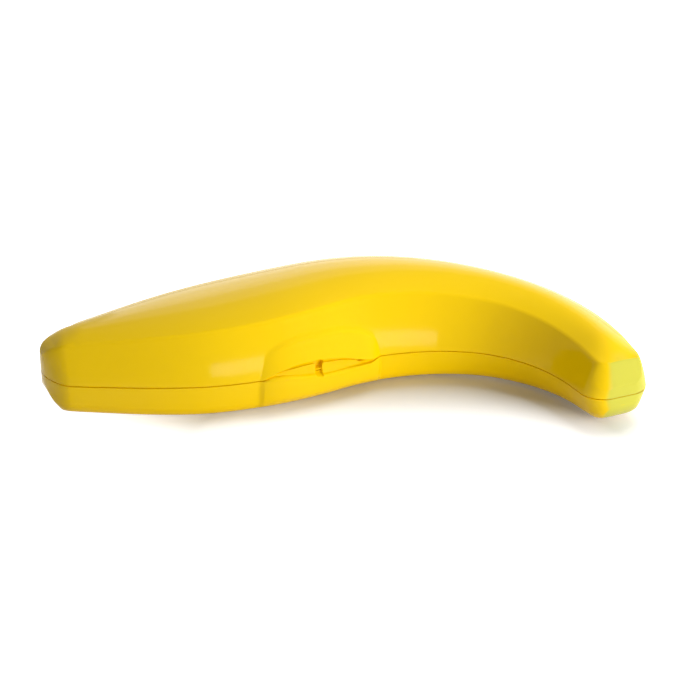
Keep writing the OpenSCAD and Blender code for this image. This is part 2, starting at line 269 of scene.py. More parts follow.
def smooth(values: tuple[float, ...], share: Array) -> Array:
    """Catmull-Rom curve through values at equal stations, carried on straight at both ends.

    Args:
        values: The values at the stations.
        share: Place along the stations, from 0 to 1.

    Returns:
        The curve's value at each place.
    """
    v = np.asarray(values, float)
    n = len(v) - 1
    e = np.concatenate([[2 * v[0] - v[1]], v, [2 * v[-1] - v[-2]]])
    i = np.clip(np.floor(share * n).astype(int), 0, n - 1)
    t = share * n - i
    a, b, c, d = e[i], e[i + 1], e[i + 2], e[i + 3]
    return b + t / 2 * (c - a + t * (2 * a - 5 * b + 4 * c - d + t * (3 * b - a - 3 * c + d)))


def bezier(a: Array, b: Array, c: Array, t: Array) -> Array:
    """Quadratic curve from a to c with the control point b, with t along the last axis."""
    return (1 - t) ** 2 * a[:, None] + 2 * t * (1 - t) * b[:, None] + t * t * c[:, None]


def signed_power(v: Array, power: float) -> Array:
    """Power of the size of v, with the sign of v."""
    return np.sign(v) * np.abs(v) ** power


def repeated(values: Array, count: int) -> Array:
    """One row for each value, which holds it count times."""
    return np.repeat(values[:, None], count, axis=1)


def loop_faces(rows: int, columns: int) -> Array:
    """Four-cornered faces of a grid whose columns close into a ring.

    Args:
        rows: Number of rings.
        columns: Number of points in each ring.

    Returns:
        The faces' corner numbers, one row each.
    """
    i, j = np.meshgrid(np.arange(rows - 1) * columns, np.arange(columns), indexing="ij")
    k = (j + 1) % columns
    return np.stack([i + j, i + k, i + columns + k, i + columns + j], axis=-1).reshape(-1, 4)


def fold_faces(first: int, last: int) -> Array:
    """Faces that close a symmetric row of points, each joining a pair to the pair behind it.

    Args:
        first: Number of the row's first point.
        last: Number of its last point; the count between them is even.

    Returns:
        The faces' corner numbers, one row each.
    """
    j = np.arange((last - first + 1) // 2 - 1)
    return np.stack([first + j, first + j + 1, last - j - 1, last - j], axis=-1)


class CentreLine:
    """Plan curve of the case: circular runs one after another, turned so that both ends lie along X."""

    def __init__(self, sizes: CaseSizes) -> None:
        """Works out where each run starts and which way it heads.

        Args:
            sizes: Sizes of the case.
        """
        self.runs = np.array(sizes.runs)
        self.turns = np.radians(np.array(sizes.turns))
        self.starts = np.concatenate([[0.0], np.cumsum(self.runs)[:-1]])
        self.headings = np.concatenate([[0.0], np.cumsum(self.turns)[:-1]])
        corners = np.cumsum(self._hop(self.headings, self.runs, self.turns), axis=0)
        self.points = np.concatenate([np.zeros((1, 2)), corners[:-1]])
        self.turn = -math.atan2(corners[-1, 1], corners[-1, 0])
        self.shift = np.zeros(2)

    @staticmethod
    def _hop(heading: Array, length: Array, turn: Array) -> Array:
        """Chord of an arc: its length times sin(turn/2)/(turn/2), at the arc's mean heading.

        Args:
            heading: Headings in radians at the arcs' starts.
            length: Lengths along the arcs.
            turn: Angles in radians that the arcs turn through.

        Returns:
            The chords' x and y on a new last axis.
        """
        chord = length * np.sinc(turn / (2 * np.pi))
        mean = heading + turn / 2
        return np.stack([chord * np.cos(mean), chord * np.sin(mean)], axis=-1)

    def _run(self, s: Value) -> Array:
        """Number of the run that each place lies on."""
        return np.clip(np.searchsorted(self.starts, s, side="right") - 1, 0, len(self.runs) - 1)

    def at(self, s: Array, n: Array) -> Array:
        """Points at distance s along the line and n to its hinge side.

        Args:
            s: Distances along the line.
            n: Distances across it, of the same shape.

        Returns:
            The points' x and y on a new last axis.
        """
        i = self._run(s)
        gone = s - self.starts[i]
        turn = self.turns[i] * gone / self.runs[i]
        place = self.points[i] + self._hop(self.headings[i], gone, turn)
        cosine, sine = math.cos(self.turn), math.sin(self.turn)
        heading = self.headings[i] + turn + self.turn
        x = place[..., 0] * cosine - place[..., 1] * sine - n * np.sin(heading)
        y = place[..., 0] * sine + place[..., 1] * cosine + n * np.cos(heading)
        return np.stack([x, y], axis=-1) + self.shift

    def heading(self, s: float) -> float:
        """Heading of the line in radians at distance s."""
        i = int(self._run(s))
        return float(self.headings[i] + self.turns[i] * (s - self.starts[i]) / self.runs[i] + self.turn)


class CaseForm:
    """Heights and half widths of the case as functions of the place along its centre line."""

    def __init__(self, sizes: CaseSizes, grip: GripSizes, pitch: SectionPitch) -> None:
        """Sets the form up and moves its centre line so that its rim fills the base's packed box.

        Args:
            sizes: Sizes of the case.
            grip: Sizes of its grip.
            pitch: Distances between its cross sections.
        """
        self.sizes = sizes
        self.grip = grip
        self.pitch = pitch
        self.line = CentreLine(sizes)
        s = self.stations()
        w = self.half_width(s, 0.0)
        rim = np.concatenate([self.line.at(s, -w), self.line.at(s, w)])
        low, high = (np.array(c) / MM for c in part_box("base_shell"))
        middle_x = (low[0] + high[0] - rim[:, 0].min() - rim[:, 0].max()) / 2
        self.line.shift = np.array([middle_x, low[1] - rim[:, 1].min()])

    def stations(self) -> Array:
        """Places of the cross sections: close together at the ends, at the grip's edges and at the catch.

        Returns:
            The places in rising order.
        """
        sizes, grip, pitch = self.sizes, self.grip, self.pitch
        low, catch, high = ((c - pitch.edge_zone, c + pitch.edge_zone) for c in (
            grip.low, grip.catch_place, grip.high))
        spans = (
            (sizes.blossom_corner, pitch.end_zone, pitch.end),
            (pitch.end_zone, low[0], pitch.plain),
            (*low, pitch.edge),
            (low[1], catch[0], pitch.grip),
            (*catch, pitch.catch),
            (catch[1], high[0], pitch.grip),
            (*high, pitch.edge),
            (high[1], sizes.length - pitch.end_zone, pitch.plain),
            (sizes.length - pitch.end_zone, sizes.length - sizes.stem_corner, pitch.end),
        )
        quarter = 1 - np.cos(np.linspace(0.0, np.pi / 2, pitch.corner_steps))
        ends = [sizes.blossom_corner * quarter, sizes.length - sizes.stem_corner * quarter]
        return np.unique(np.round(np.concatenate(ends + [np.arange(*span) for span in spans]), 3))

    def share(self, s: Array) -> Array:
        """Place along the case as a share of its length."""
        return s / self.sizes.length

    def full_half(self, s: Array, e: float) -> Array:
        """Half width before the end corners are rounded, moved inwards by e."""
        return smooth(self.sizes.widths, self.share(s)) / 2 - e

    def half_width(self, s: Array, e: float) -> Array:
        """Half width of the outline moved inwards by e, less the quarter rounds at its ends.

        Args:
            s: Places along the case.
            e: Distance that the outline is moved inwards.

        Returns:
            The half widths.
        """
        sizes = self.sizes
        start = corner(s - e, sizes.blossom_corner - e)
        return self.full_half(s, e) - start - corner(sizes.length - e - s, sizes.stem_corner - e)

    def leaned(self, s: Array, e: float, h: Array, lean: Value) -> Array:
        """Half width at height or depth h of a wall that leans inwards, scaled down towards the ends."""
        return self.half_width(s, e) * (1 - h * np.tan(np.radians(lean)) / self.full_half(s, e))

    def lid_side(self, s: Array, e: float, h: Array) -> Array:
        """Half width of the lid: a leaning wall with a parabola of a bulge between the rim and the crease.

        Args:
            s: Places along the case.
            e: Distance that the wall is moved inwards.
            h: Heights above the parting line.

        Returns:
            The half widths.
        """
        f = np.clip(h / self.crease(s, e), 0.0, 1.0)
        bulge = self.sizes.lid_bulge * 4 * f * (1 - f) * self.half_width(s, e) / self.full_half(s, e)
        return self.leaned(s, e, h, self.sizes.lid_lean) + bulge

    def crease(self, s: Array, e: float) -> Array:
        """Height of the lid's crease."""
        return smooth(self.sizes.walls, self.share(s)) - e

    def crease_size(self, s: Array, e: float) -> Array:
        """Size of the lid's soft crease, smaller on narrow sections."""
        return np.minimum(self.sizes.crease_size, self.lid_side(s, e, self.crease(s, e)) / 2)

    def crown(self, s: Array) -> Array:
        """Rise of the crown, which falls to nothing at the top edges of the rounded ends.

        Args:
            s: Places along the case.

        Returns:
            The rises: a curve through the crown's sizes, eased in at one end and a parabola at the other.
        """
        sizes = self.sizes
        a = step(sizes.blossom_top, sizes.blossom_top + sizes.crown_fall, s)
        b = np.clip((sizes.length - sizes.stem_top - s) / sizes.crown_fall, 0.0, 1.0)
        return smooth(sizes.crowns, self.share(s)) * a * b * (2 - b)

    def ended(self, half: Half, s: Array, n: Array, h: Array, e: float) -> Array:
        """Heights or depths of sections cut down to the half's rounded ends.

        Args:
            half: The half that the sections belong to.
            s: Places of the sections.
            n: Distances of their points across the case.
            h: Heights or depths of their points, away from the parting line.
            e: Distance that the sections are moved inwards.

        Returns:
            The heights or depths that the ends leave, with a soft change-over.
        """
        sizes = self.sizes
        first, last = sizes.base_blossom, sizes.base_stem
        if half is Half.LID:
            first, last = sizes.lid_blossom, sizes.lid_stem
        h = soft_min(h, first.limit(s, n, e), first.soft)
        return soft_min(h, last.limit(sizes.length - s, n, e), last.soft)

    def slanted(self, s: Array, n: Array) -> Array:
        """Places of points after the blossom end is slanted: its front is set back, its back is left.

        Args:
            s: Places of the points along the case.
            n: Their distances across it.

        Returns:
            The new places, moved by a share of n that fades with the square of the reach that is left.
        """
        sizes = self.sizes
        fade = 1 - np.clip(s / sizes.slant_reach, 0.0, 1.0)
        return s + sizes.blossom_slant * np.clip(sizes.slant_start - n, 0.0, None) * fade * fade

    def underside(self, s: Array, e: float) -> Array:
        """Depth of the underside, which rises a little at both ends.

        Args:
            s: Places along the case.
            e: Distance that the underside is moved inwards.

        Returns:
            The depths below the parting line.
        """
        sizes = self.sizes
        reach = sizes.runs[0]
        first = sizes.blossom_rise * (1 - step(0.0, reach, s))
        return sizes.base_depth - e - first - sizes.stem_rise * (1 - step(0.0, reach, sizes.length - s))

    def base_side(self, s: Array, e: float, d: Array) -> Array:
        """Half width of the base, whose wall leans more towards the stem end.

        Args:
            s: Places along the case.
            e: Distance that the wall is moved inwards.
            d: Depths below the parting line.

        Returns:
            The half widths.
        """
        sizes = self.sizes
        lean = sizes.blossom_lean + (sizes.stem_lean - sizes.blossom_lean) * step(0.0, 1.0, self.share(s))
        return self.leaned(s, e, d, lean)

    def grip_share(self, s: Array) -> Array:
        """Distance from the grip's middle as a share of its half length."""
        return np.abs(s - self.grip.place) / (self.grip.length / 2)

    def grip_face(self, s: Array) -> Array:
        """Half width of the grip's bulging face at the parting line, flat but for its falling ends."""
        t = np.clip(self.grip_share(s), 0.0, 1.0)
        return self.half_width(s, 0.0) + self.grip.out * (1 - t ** self.grip.plan_power)

    def recess_top(self, s: Array) -> Array:
        """Height of the finger recess: a skewed arch, t times the square of 1 - t over its peak of 4/27.

        Args:
            s: Places along the case.

        Returns:
            The heights above the parting line.
        """
        grip = self.grip
        t = np.clip((s - grip.place) / grip.recess_length + 0.5, 0.0, 1.0)
        return grip.recess_height * 27 / 4 * t * (1 - t) ** 2

    def ledge(self, s: Array) -> Array:
        """Height of the base's ledge in the recess: above the rim left of the catch, below it on the right.

        Args:
            s: Places along the case.

        Returns:
            The heights above the parting line, eased in and out on both sides of the catch.
        """
        grip = self.grip
        inset, change, catch = grip.ledge_inset, grip.ledge_change, grip.catch_place
        left = step(grip.low + inset, grip.low + grip.ledge_whole, s)
        left = left * (1 - step(grip.low + grip.ledge_fall, catch - inset, s))
        right = step(catch - change, catch + change, s)
        right = right * (1 - step(grip.high - grip.ledge_fall, grip.high - inset, s))
        return grip.ledge_rise * left - grip.ledge_drop * right

    def lid_front(self, s: Array, h: Array) -> Array:
        """Half width of the lid's front wall with its grip, recess and catch hole.

        The grip is a leaning face blended into the wall by the distance from its arched outline, which is
        a super-ellipse: one less the value of its equation, over the length of its gradient.

        Args:
            s: Places along the case.
            h: Heights above the parting line.

        Returns:
            The half widths.
        """
        grip = self.grip
        wall = self.lid_side(s, 0.0, h)
        height = grip.height - grip.fall * np.clip((s - grip.place) / (grip.length / 2), -1.0, 1.0)
        t, u = self.grip_share(s), np.clip(h, 0.0, None) / height
        f = np.maximum((t ** grip.power + u ** grip.power) ** (1 / grip.power), TINY)
        across = (t / f) ** (grip.power - 1) / (grip.length / 2)
        up = (u / f) ** (grip.power - 1) / height
        inside = (1 - f) / np.sqrt(across * across + up * up)
        face = self.grip_face(s) - h * math.tan(math.radians(grip.lean))
        n = wall + np.maximum(face - wall, 0.0) * step(-grip.fillet_out, grip.fillet_in, inside)
        top = self.recess_top(s)
        hollow = (1 - step(-grip.lip, 0.0, h - top)) * step(*grip.recess_ease, top)
        n = n + np.minimum(self.half_width(s, 0.0) + grip.recess_floor - n, 0.0) * hollow
        hole = np.hypot(s - grip.catch_place, h - grip.hole_rise)
        return n - grip.hole_depth * (1 - step(grip.hole_radius - grip.hole_ease, grip.hole_radius, hole))

    def base_front(self, s: Array, d: Array) -> Array:
        """Half width of the base's front wall with its grip, rounded ledge and catch slot.

        Args:
            s: Places along the case.
            d: Depths below the parting line, less than nothing on the raised part of the ledge.

        Returns:
            The half widths.
        """
        grip, sizes = self.grip, self.sizes
        down = np.clip(d, 0.0, None)
        wall = self.base_side(s, 0.0, down)
        side = grip.length / 2 * (1 - self.grip_share(s))
        fade = 1 - np.clip(down / sizes.base_depth, 0.0, 1.0) ** 2
        share = fade * step(-grip.side_fillet / 2, grip.side_fillet, side)
        lean = np.clip(-d, 0.0, None) * math.tan(math.radians(grip.lean))
        n = wall + np.maximum(self.grip_face(s) - wall, 0.0) * share - lean
        below = d - sizes.rim_gap / 2 + self.ledge(s)
        whole = step(*grip.round_ease, self.recess_top(s))
        n = n - corner(below, sizes.rim_round + (grip.ledge_round - sizes.rim_round) * whole)
        end, ease = grip.slot_depth, grip.slot_ease
        slot = self.catch_gap(s) * (1 - step(end - ease, end + ease, below))
        return n + np.minimum(self.half_width(s, 0.0) + grip.slot_back - n, 0.0) * slot

    def catch_gap(self, s: Array) -> Array:
        """One in the catch's slot and nothing away from it."""
        half, side = self.grip.slot_half, self.grip.slot_side
        return 1 - step(half - side, half + side, np.abs(s - self.grip.catch_place))

    def moved_in(self, s: Array, e: float) -> Array:
        """Places of the cross sections of an outline moved inwards by e."""
        return e + s * (self.sizes.length - 2 * e) / self.sizes.length


class Piece:
    """A finished mesh object of the scene, made from arrays of points and faces."""

    def __init__(self, name: str, points: Array, faces: Array, sharp: float = 40.0) -> None:
        """Makes the mesh in metres with outward faces and smooth shading.

        Args:
            name: Name of the object.
            points: Points in millimetres, one row each.
            faces: Four corner numbers of each face, one row each.
            sharp: Angle in degrees above which an edge is kept sharp.
        """
        if self._volume(points, faces) < 0:
            faces = faces[:, ::-1]
        mesh = bpy.data.meshes.new(name)
        mesh.from_pydata((points * MM).tolist(), [], faces.tolist())
        mesh.polygons.foreach_set("use_smooth", np.ones(len(mesh.polygons), bool))
        mesh.set_sharp_from_angle(angle=math.radians(sharp))
        mesh.update()
        self.object = bpy.data.objects.new(name, mesh)
        bpy.context.scene.collection.objects.link(self.object)
        LOG.info("%s: %d points, %d faces", name, len(points), len(faces))

    @staticmethod
    def _volume(points: Array, faces: Array) -> float:
        """Six times the enclosed volume: the corner products of the two triangles of each face, added up.

        Args:
            points: Points, one row each.
            faces: Four corner numbers of each face, one row each.

        Returns:
            The sum, less than nothing where the faces point inwards.
        """
        a, b, c = points[np.concatenate([faces[:, [0, 1, 2]], faces[:, [0, 2, 3]]])].transpose(1, 0, 2)
        return float((a * np.cross(b, c)).sum())

    def attribute(self, name: str, values: Array) -> None:
        """Stores one number for each point of the mesh."""
        layer = self.object.data.attributes.new(name, "FLOAT", "POINT")
        layer.data.foreach_set("value", values.astype(np.float32))

    def points(self) -> tuple[Array, Array]:
        """Reads the mesh back.

        Returns:
            Points in millimetres and their normals, one row each.
        """
        mesh = self.object.data
        places = np.empty(len(mesh.vertices) * 3, np.float32)
        normals = np.empty_like(places)
        mesh.vertices.foreach_get("co", places)
        mesh.vertices.foreach_get("normal", normals)
        return places.reshape(-1, 3) / MM, normals.reshape(-1, 3)

    def dress(self, material: bpy.types.Material, body: Half) -> None:
        """Gives the piece its finish and its place in the assembly.

        Args:
            material: Material of the whole piece.
            body: Half that the piece rides on.
        """
        self.object.data.materials.append(material)
        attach(self.object, body.value)


@dataclass(frozen=True)
class PaintedRecessShade:
    """Where the painted shade of the recess and catch hole starts and is whole, in millimetres from the face
    or edge named.
    """

    floor: Span = (-0.6, -0.2)
    face_gap: float = 0.2
    ledge: Span = (0.1, 0.5)
    lip: Span = (-0.3, 0.1)
    height: Span = (0.2, 0.8)
    hole_edge: Span = (-0.3, 0.1)
    hole_back: Span = (-1.9, -1.7)
    hole_front: Span = (0.0, 0.2)


@dataclass(frozen=True)
class PaintedTipLight:
    """Faces of the stem end that get a painted lime tint of light: degrees turned, millimetres from the end,
    normal's shares.
    """

    turn: float = 10.0
    reach: Span = (-10.0, -6.0)
    facing: Span = (0.84, 0.97)
    level: Span = (0.3, 0.6)
    least_level: float = 0.01


@dataclass
class Shell:
    """One half of the case as a closed surface of cross sections."""

    form: CaseForm
    half: Half
    wall_steps: int = 54
    bend_steps: int = 8
    top_steps: int = 34
    inner_steps: int = 10
    # where the painted shade of the recess and catch hole lies
    shade: PaintedRecessShade = PaintedRecessShade()
    # where the painted lime light lies on the stem end
    tip: PaintedTipLight = PaintedTipLight()

    def join(self, front: Strip, back: Strip, top: Strip, bend: Strip) -> Strip:
        """Puts a section together from its front wall, rounded edges, top and back wall.

        Args:
            front: Distances and heights of the front wall, from the rim up.
            back: The same of the back wall.
            top: Distances and heights across the top, from front to back.
            bend: Distance and height of the sharp edge that the bends round off.

        Returns:
            Distances across and heights of whole sections, from the front rim to the back rim.
        """
        t = np.linspace(0.0, 1.0, self.bend_steps + 2)[None, 1:-1]
        over_front = bezier(front[0][:, -1], bend[0], -top[0][:, 0], t)
        over_back = bezier(back[0][:, -1], bend[0], top[0][:, -1], t)
        rise = bezier(front[1][:, -1], bend[1], top[1][:, 0], t)
        n = [-front[0], -over_front, top[0], over_back[:, ::-1], back[0][:, ::-1]]
        h = [front[1], rise, top[1], rise[:, ::-1], back[1][:, ::-1]]
        return np.concatenate(n, axis=1), np.concatenate(h, axis=1)

    def outer(self, s: Array) -> Strip:
        """Sections of the outer skin."""
        raise NotImplementedError

    def inner(self, s: Array) -> Strip:
        """Sections of the inner skin."""
        raise NotImplementedError

    def rims(self, s: Array, outer: Strip) -> tuple[Strip, Strip, float]:
        """Rim strips of the front and the back from the outer skin inwards, and their inset."""
        raise NotImplementedError

    def surface(self) -> tuple[Array, Array, Array]:
        """Closed surface of the half: outer skin, stepped rims, inner skin and its two ends.

        Returns:
            The points in millimetres, the faces, and each point's share of the painted shade in the recess
            and catch hole.
        """
        form, sizes = self.form, self.form.sizes
        s = form.stations()
        s_in = form.moved_in(s, sizes.wall)
        outer, inner = self.outer(s), self.inner(s_in)
        front, back, inset = self.rims(s, outer)
        m, b, k = outer[0].shape[1], front[0].shape[1], inner[0].shape[1]
        n = np.concatenate([outer[0], back[0], inner[0][:, ::-1], -front[0][:, ::-1]], axis=1)
        h = np.concatenate([outer[1], back[1], inner[1][:, ::-1], front[1][:, ::-1]], axis=1)
        rim = np.concatenate([repeated(s, b - 2), repeated(form.moved_in(s, inset), 2)], axis=1)
        along = np.concatenate([repeated(s, m), rim, repeated(s_in, k), rim[:, ::-1]], axis=1)
        along = form.slanted(along, n)
        points = np.concatenate([form.line.at(along, n), (h + sizes.base_depth)[..., None]], axis=-1)
        rows, columns = n.shape
        i = np.arange(b + 1)
        strips = np.stack([(columns - i) % columns, m - 1 + i, m + i, columns - 1 - i], axis=-1)
        end = np.concatenate([fold_faces(0, m - 1), strips, fold_faces(m + b, columns - b - 1)])
        faces = np.concatenate([loop_faces(rows, columns), end[:, ::-1], end + (rows - 1) * columns])
        return points.reshape(-1, 3), faces, self.shaded(along, n, h).ravel()

    def build(self, material: bpy.types.Material) -> Piece:
        """Makes the shell's piece, dresses it and lets it stand for its solid.

        Args:
            material: The shell's plastic.

        Returns:
            The finished piece.
        """
        points, faces, hollow = self.surface()
        piece = Piece(f"{self.half.value}_skin", points, faces)
        self.paint_tip_light(piece)
        # hollow: each point's share of the painted shade in the recess and catch hole
        piece.attribute("hollow", hollow)
        piece.dress(material, self.half)
        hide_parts(f"{self.half.value}_shell")
        return piece

    def shaded(self, s: Array, n: Array, h: Array) -> Array:
        """Share of the painted shade: one behind the grip's face and in the catch hole, nothing elsewhere.

        Args:
            s: Places of the points along the case.
            n: Distances across it.
            h: Heights above the parting line.

        Returns:
            The shares, of the same shape.
        """
        # Painted shade: a deeper orange inside the recess and the catch hole, where shade falls.
        form, grip, shade = self.form, self.form.grip, self.shade
        out = -n - form.half_width(s, 0.0)
        top = form.recess_top(s)
        behind = step(*shade.floor, out) * (1 - step(grip.scoop_front, grip.out - shade.face_gap, out))
        between = step(*shade.ledge, h - form.ledge(s)) * (1 - step(*shade.lip, h - top))
        hole = np.hypot(s - grip.catch_place, h - grip.hole_rise) - grip.hole_radius
        pit = 1 - step(*shade.hole_edge, hole)
        deep = step(*shade.hole_back, out) * (1 - step(*shade.hole_front, out))
        return np.maximum(behind * between * step(*shade.height, top), pit * deep)

    def paint_tip_light(self, piece: Piece) -> None:
        """Stores the painted lime tint of light: where a face near the stem end looks along the case's end.

        Args:
            piece: The shell's piece.
        """
        form, tip = self.form, self.tip
        a = form.line.heading(form.sizes.length)
        end = form.line.at(np.array([form.sizes.length]), np.zeros(1))[0]
        b = a + math.radians(tip.turn)
        places, normals = piece.points()
        ahead = (places[:, :2] - end) @ np.array([math.cos(a), math.sin(a)])
        level = np.hypot(normals[:, 0], normals[:, 1])
        facing = normals[:, :2] @ np.array([math.cos(b), math.sin(b)]) / np.maximum(level, tip.least_level)
        # Painted light: lime on the faces turned towards the stem end.
        piece.attribute("tip", step(*tip.reach, ahead) * step(*tip.facing, facing) * step(*tip.level, level))


@dataclass
class LidShell(Shell):
    """The upper half: crowned top between two soft creases, and a rim that takes the base's tongue."""

    half: Half = Half.LID
    lip_steps: int = 16
    lip_least: float = 1.0
    lip_power: float = 1.5
    wall_power: float = 1.4

    def crowned(self, s: Array, e: float, front: Strip, back: Strip) -> Strip:
        """Sections between two walls, with the crown across the top and the rounded ends.

        The crown is a parabola, flattened beside the creases towards the stem by a second factor.

        Args:
            s: Places of the sections.
            e: Distance that the sections are moved inwards.
            front: Distances and heights of the front wall.
            back: The same of the back wall.

        Returns:
            Distances across and heights of whole sections.
        """
        form = self.form
        high, bend = form.crease(s, e), form.crease_size(s, e)
        w = form.lid_side(s, e, high)
        x = (w - bend)[:, None] * np.linspace(-1.0, 1.0, self.top_steps)[None, :]
        u = (x / w[:, None]) ** 2
        flat = form.sizes.crown_flat * step(*form.sizes.flat_start, form.share(s))[:, None]
        top = high[:, None] + form.crown(s)[:, None] * (1 - u) * (1 - flat * u)
        n, h = self.join(front, back, (x, top), (w, high))
        return n, form.ended(Half.LID, s[:, None], n, h, e)

    def outer(self, s: Array) -> Strip:
        """Sections of the outer skin, with rows of points along the recess's lip.

        Args:
            s: Places of the sections.

        Returns:
            Distances across and heights of whole sections.
        """
        form, sizes = self.form, self.form.sizes
        start = sizes.rim_gap / 2
        top = (form.crease(s, 0.0) - form.crease_size(s, 0.0))[:, None]
        lip = np.maximum(form.recess_top(s), self.lip_least)[:, None]
        low = np.linspace(0.0, 1.0, self.lip_steps)[None, :]
        high = np.linspace(0.0, 1.0, self.wall_steps - self.lip_steps + 1)[None, 1:]
        to_lip = start + (lip - start) * (1 - (1 - low) ** self.lip_power)
        h = np.concatenate([to_lip, lip + (top - lip) * high ** self.wall_power], axis=1)
        c = s[:, None]
        edge = corner(h - start, sizes.rim_round)
        return self.crowned(s, 0.0, (form.lid_front(c, h) - edge, h), (form.lid_side(c, 0.0, h) - edge, h))

    def inner(self, s: Array) -> Strip:
        """Sections of the inner skin, from the rabbet up.

        Args:
            s: Places of the sections.

        Returns:
            Distances across and heights of whole sections.
        """
        form, sizes = self.form, self.form.sizes
        start = sizes.tongue_height + sizes.tongue_clearance
        top = form.crease(s, sizes.wall) - form.crease_size(s, sizes.wall)
        h = start + (top - start)[:, None] * np.linspace(0.0, 1.0, self.inner_steps)
        wall = form.lid_side(s[:, None], sizes.wall, h), h
        return self.crowned(s, sizes.wall, wall, wall)

    def rims(self, s: Array, outer: Strip) -> tuple[Strip, Strip, float]:
        """Flat rims and the rabbet inside them, alike at the front and the back.

        Args:
            s: Places of the sections.
            outer: Sections of the outer skin; not used.

        Returns:
            The front strip, the back strip and the rabbet's inset.
        """
        sizes = self.form.sizes
        inset = sizes.wall - sizes.tongue_wall - sizes.tongue_clearance
        n = self.form.half_width(self.form.moved_in(s, inset), inset)
        levels = [sizes.rim_gap / 2, sizes.tongue_height + sizes.tongue_clearance]
        strip = repeated(n, len(levels)), np.tile(levels, (len(s), 1))
        return strip, strip, inset


@dataclass
class BaseShell(Shell):
    """The lower half: flat underside with soft edges, a tongue on its rim and the grip's scooped ledge."""

    half: Half = Half.BASE
    scoop_steps: int = 9
    wall_power: float = 1.5
    sole_share: float = 2 / 3

    def soled(self, s: Array, e: float, front: Strip, back: Strip) -> Strip:
        """Sections between two walls, with the flat underside and the rounded ends.

        Args:
            s: Places of the sections.
            e: Distance that the sections are moved inwards.
            front: Distances and depths of the front wall.
            back: The same of the back wall.

        Returns:
            Distances across and heights of whole sections.
        """
        form = self.form
        deep, bend = form.underside(s, e), self.sole_bend(s, e)
        w = form.base_side(s, e, deep)
        x = (w - bend)[:, None] * np.linspace(-1.0, 1.0, self.top_steps)[None, :]
        n, d = self.join(front, back, (x, repeated(deep, self.top_steps)), (w, deep))
        return n, -form.ended(Half.BASE, s[:, None], n, d, e)

    def sole_bend(self, s: Array, e: float) -> Array:
        """Size of the soft edge round the underside, smaller on narrow sections."""
        half = self.form.base_side(s, e, self.form.underside(s, e))
        return np.minimum(self.form.sizes.sole_size, half * self.sole_share)

    def levels(self, s: Array, e: float, start: Array, steps: int) -> Array:
        """Depths of the wall's points, closer together at the rim."""
        end = self.form.underside(s, e) - self.sole_bend(s, e)
        return start[:, None] + (end - start)[:, None] * np.linspace(0.0, 1.0, steps) ** self.wall_power

    def outer(self, s: Array) -> Strip:
        """Sections of the outer skin, whose front starts at the ledge.

        Args:
            s: Places of the sections.

        Returns:
            Distances across and heights of whole sections.
        """
        form, sizes = self.form, self.form.sizes
        rim = np.full_like(s, sizes.rim_gap / 2)
        d, front_d = (self.levels(s, 0.0, start, self.wall_steps) for start in (rim, rim - form.ledge(s)))
        c = s[:, None]
        back = form.base_side(c, 0.0, d) - corner(d - sizes.rim_gap / 2, sizes.rim_round)
        return self.soled(s, 0.0, (form.base_front(c, front_d), front_d), (back, d))

    def inner(self, s: Array) -> Strip:
        """Sections of the inner skin, from the top of the tongue down.

        Args:
            s: Places of the sections.

        Returns:
            Distances across and heights of whole sections.
        """
        form, sizes = self.form, self.form.sizes
        d = self.levels(s, sizes.wall, np.full_like(s, -sizes.tongue_height), self.inner_steps)
        wall = form.base_side(s[:, None], sizes.wall, np.clip(d, 0.0, None)), d
        return self.soled(s, sizes.wall, wall, wall)

    def rims(self, s: Array, outer: Strip) -> tuple[Strip, Strip, float]:
        """Rims with the tongue on them, and at the front the scoop that rises behind the grip's ledge.

        The scoop leaves the ledge flat and bends up to its top edge: its distance falls with the square of
        1 - u while its height grows with the square of u.

        Args:
            s: Places of the sections.
            outer: Sections of the outer skin.

        Returns:
            The front strip, the back strip and the tongue's inset.
        """
        form, sizes, grip = self.form, self.form.sizes, self.form.grip
        inset = sizes.wall - sizes.tongue_wall
        tongue_n = repeated(form.half_width(form.moved_in(s, inset), inset), 2)
        tongue_h = np.tile([-sizes.rim_gap / 2, sizes.tongue_height], (len(s), 1))
        half, top = form.half_width(s, 0.0)[:, None], form.recess_top(s)[:, None]
        u = np.linspace(0.0, 1.0, self.scoop_steps)[None, 1:]
        edge_n, edge_h = -outer[0][:, :1], outer[1][:, :1]
        tip = np.minimum(half + grip.scoop_front, edge_n - grip.scoop_least)
        heel = np.minimum(half + grip.scoop_back, tip - grip.scoop_least)
        window = step(*grip.scoop_ease, top) * (1 - form.catch_gap(s)[:, None])
        rise = np.clip(top - grip.scoop_gap - edge_h, 0.0, None) * window * grip.scoop_share
        scoop_n = tip + (edge_n - tip) * (1 - u) ** 2
        low = np.full_like(heel, -sizes.rim_gap / 2)
        front = (
            np.concatenate([scoop_n, heel, heel, tongue_n], axis=1),
            np.concatenate([edge_h + rise * u ** 2, edge_h + rise, low, tongue_h], axis=1),
        )
        count = self.scoop_steps + 1
        back_edge = outer[0][:, -1:]
        share = np.linspace(0.0, 1.0, count + 2)[None, 1:-1]
        back = (
            np.concatenate([back_edge + (tongue_n[:, :1] - back_edge) * share, tongue_n], axis=1),
            np.concatenate([np.repeat(low, count, axis=1), tongue_h], axis=1),
        )
        return front, back, inset


